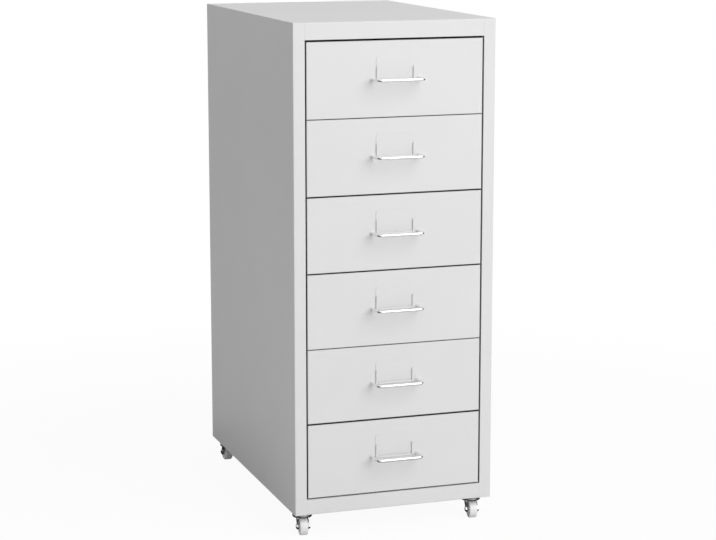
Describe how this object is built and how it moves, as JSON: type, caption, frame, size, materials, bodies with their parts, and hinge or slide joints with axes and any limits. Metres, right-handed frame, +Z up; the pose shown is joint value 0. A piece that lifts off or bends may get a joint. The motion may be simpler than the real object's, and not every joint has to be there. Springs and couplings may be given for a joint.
{
  "type": "drawer cabinet",
  "caption": "Small steel drawer cabinet: folded sheet carcass with shallow drawers on runner channels, wire handles, label holders and swivel casters.",
  "frame": {"origin": "on the floor, under the middle of the whole outline with the handles", "axes": "+Z up, front and handles towards -Y, +X to the right seen from the front"},
  "size_m": [0.28, 0.458, 0.688],
  "materials": {
    "body_paint": "satin powder coat, light silver grey",
    "handle_chrome": "bright chrome plate",
    "dark_chrome": "smoked chrome plate on pressed steel",
    "bright_zinc": "bright zinc plate",
    "wheel_plastic": "pale grey moulded plastic"
  },
  "bodies": {
    "carcass": {"left_side_panel": "body_paint", "right_side_panel": "body_paint", "top_panel": "body_paint", "base_panel": "body_paint", "back_panel": "body_paint", "left_runners": "body_paint", "right_runners": "body_paint", "caster_plates": "bright_zinc"},
    "drawer_1": {"drawer_1_tray": "body_paint", "drawer_1_front": "body_paint", "drawer_1_handle": "handle_chrome", "drawer_1_handle_screws": "bright_zinc", "drawer_1_label_holder": "body_paint"},
    "drawer_2": {"drawer_2_tray": "body_paint", "drawer_2_front": "body_paint", "drawer_2_handle": "handle_chrome", "drawer_2_handle_screws": "bright_zinc", "drawer_2_label_holder": "body_paint"},
    "drawer_3": {"drawer_3_tray": "body_paint", "drawer_3_front": "body_paint", "drawer_3_handle": "handle_chrome", "drawer_3_handle_screws": "bright_zinc", "drawer_3_label_holder": "body_paint"},
    "drawer_4": {"drawer_4_tray": "body_paint", "drawer_4_front": "body_paint", "drawer_4_handle": "handle_chrome", "drawer_4_handle_screws": "bright_zinc", "drawer_4_label_holder": "body_paint"},
    "drawer_5": {"drawer_5_tray": "body_paint", "drawer_5_front": "body_paint", "drawer_5_handle": "handle_chrome", "drawer_5_handle_screws": "bright_zinc", "drawer_5_label_holder": "body_paint"},
    "drawer_6": {"drawer_6_tray": "body_paint", "drawer_6_front": "body_paint", "drawer_6_handle": "handle_chrome", "drawer_6_handle_screws": "bright_zinc", "drawer_6_label_holder": "body_paint"},
    "caster_front_left_swivel": {"caster_front_left_fork": "dark_chrome"},
    "caster_front_left_roller": {"caster_front_left_wheel": "wheel_plastic"},
    "caster_front_right_swivel": {"caster_front_right_fork": "dark_chrome"},
    "caster_front_right_roller": {"caster_front_right_wheel": "wheel_plastic"},
    "caster_rear_left_swivel": {"caster_rear_left_fork": "dark_chrome"},
    "caster_rear_left_roller": {"caster_rear_left_wheel": "wheel_plastic"},
    "caster_rear_right_swivel": {"caster_rear_right_fork": "dark_chrome"},
    "caster_rear_right_roller": {"caster_rear_right_wheel": "wheel_plastic"}
  },
  "joints": [
    {"name": "drawer_1_slide", "type": "slide", "parent": "carcass", "child": "drawer_1", "axis": [0, -1, 0], "range_m": [0, 0.3]},
    {"name": "drawer_2_slide", "type": "slide", "parent": "carcass", "child": "drawer_2", "axis": [0, -1, 0], "range_m": [0, 0.3]},
    {"name": "drawer_3_slide", "type": "slide", "parent": "carcass", "child": "drawer_3", "axis": [0, -1, 0], "range_m": [0, 0.3]},
    {"name": "drawer_4_slide", "type": "slide", "parent": "carcass", "child": "drawer_4", "axis": [0, -1, 0], "range_m": [0, 0.3]},
    {"name": "drawer_5_slide", "type": "slide", "parent": "carcass", "child": "drawer_5", "axis": [0, -1, 0], "range_m": [0, 0.3]},
    {"name": "drawer_6_slide", "type": "slide", "parent": "carcass", "child": "drawer_6", "axis": [0, -1, 0], "range_m": [0, 0.3]},
    {"name": "caster_front_left_turn", "type": "hinge", "parent": "carcass", "child": "caster_front_left_swivel", "pos_m": [-0.122, -0.1738, 0.0289], "axis": [0, 0, 1], "continuous": true},
    {"name": "caster_front_left_roll", "type": "hinge", "parent": "caster_front_left_swivel", "child": "caster_front_left_roller", "pos_m": [-0.12341, -0.18269, 0.012], "axis": [0.9877, -0.1564, 0], "continuous": true},
    {"name": "caster_front_right_turn", "type": "hinge", "parent": "carcass", "child": "caster_front_right_swivel", "pos_m": [0.122, -0.1738, 0.0289], "axis": [0, 0, 1], "continuous": true},
    {"name": "caster_front_right_roll", "type": "hinge", "parent": "caster_front_right_swivel", "child": "caster_front_right_roller", "pos_m": [0.12075, -0.18271, 0.012], "axis": [0.9903, -0.1392, 0], "continuous": true},
    {"name": "caster_rear_left_turn", "type": "hinge", "parent": "carcass", "child": "caster_rear_left_swivel", "pos_m": [-0.122, 0.2002, 0.0289], "axis": [0, 0, 1], "continuous": true},
    {"name": "caster_rear_left_roll", "type": "hinge", "parent": "caster_rear_left_swivel", "child": "caster_rear_left_roller", "pos_m": [-0.12263, 0.20918, 0.012], "axis": [-0.9976, -0.0698, 0], "continuous": true},
    {"name": "caster_rear_right_turn", "type": "hinge", "parent": "carcass", "child": "caster_rear_right_swivel", "pos_m": [0.122, 0.2002, 0.0289], "axis": [0, 0, 1], "continuous": true},
    {"name": "caster_rear_right_roll", "type": "hinge", "parent": "caster_rear_right_swivel", "child": "caster_rear_right_roller", "pos_m": [0.12595, 0.20829, 0.012], "axis": [-0.8988, 0.4384, 0], "continuous": true}
  ]
}
